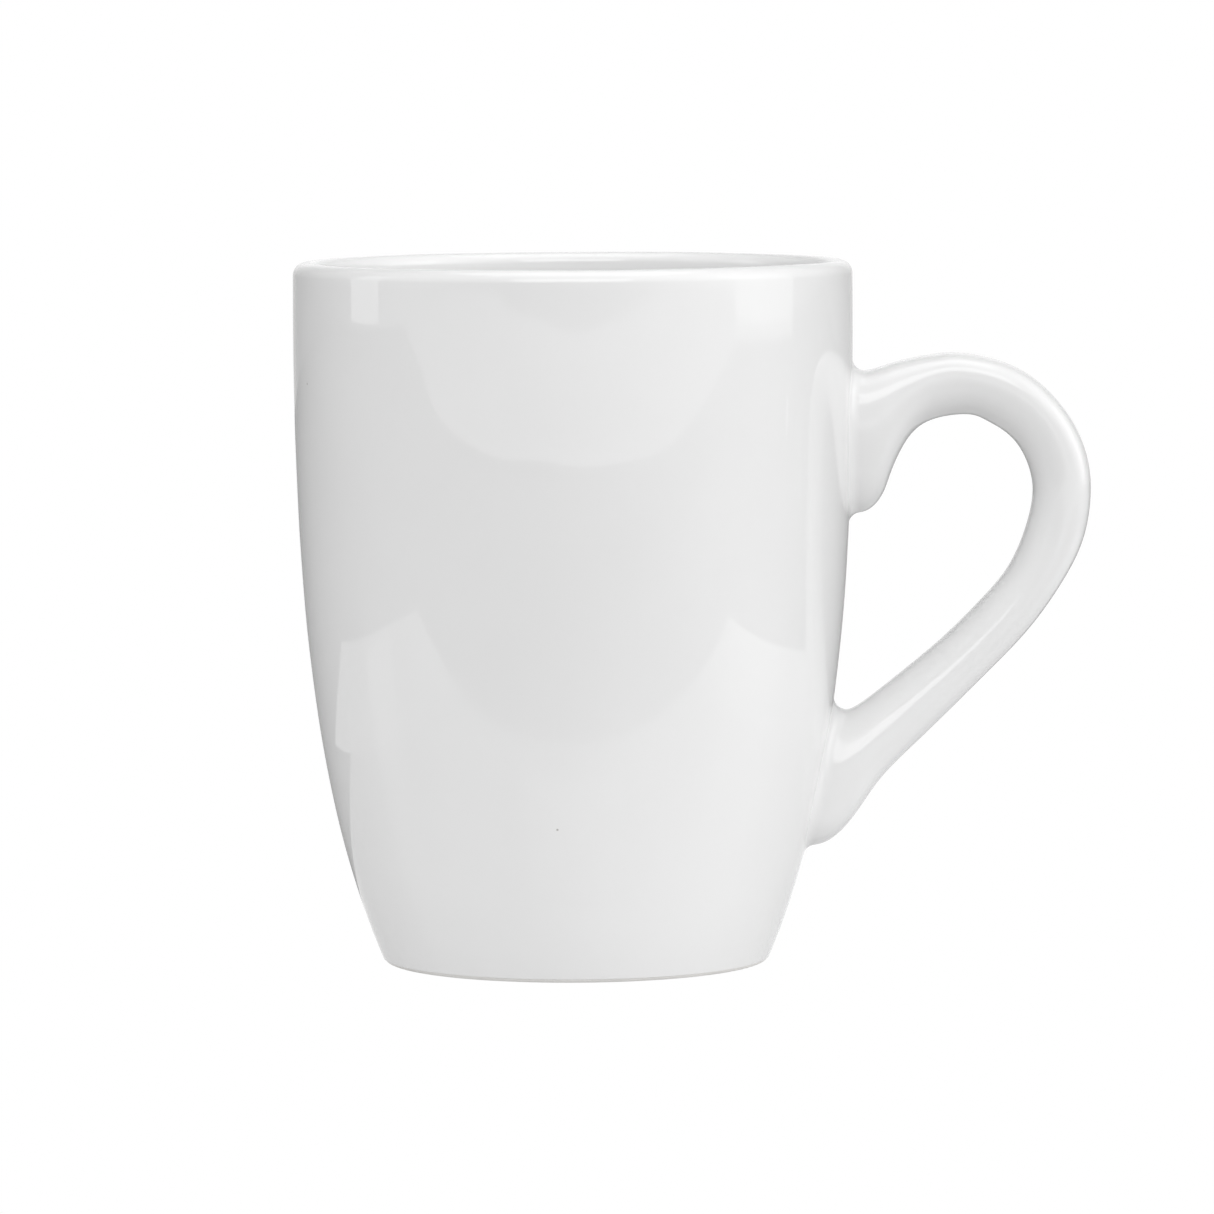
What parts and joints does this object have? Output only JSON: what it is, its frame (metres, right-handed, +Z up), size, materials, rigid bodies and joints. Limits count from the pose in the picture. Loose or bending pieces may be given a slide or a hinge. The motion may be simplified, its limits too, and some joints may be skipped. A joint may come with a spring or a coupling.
{
  "type": "ceramic mug",
  "caption": "Tall white glazed ceramic mug: a tapered cup on a bare foot ring, with an ear-shaped handle stuck on with slip at both ends.",
  "frame": {"origin": "middle of the foot ring, on the plane of the table the mug stands on", "axes": "+Z up along the cup's axis, +X towards the handle, +Y completes the right-handed frame; the mug is symmetric about the XZ plane"},
  "size_m": [0.1182, 0.083, 0.1042],
  "materials": {
    "clay": "matte",
    "slip": "matte",
    "white_glaze": "gloss"
  },
  "bodies": {
    "root": {"cup_body": "clay", "handle": "clay", "upper_handle_joint": "slip", "lower_handle_joint": "slip", "outer_glaze": "white_glaze", "inner_glaze": "white_glaze", "handle_glaze": "white_glaze", "foot_glaze": "white_glaze"}
  },
  "joints": []
}
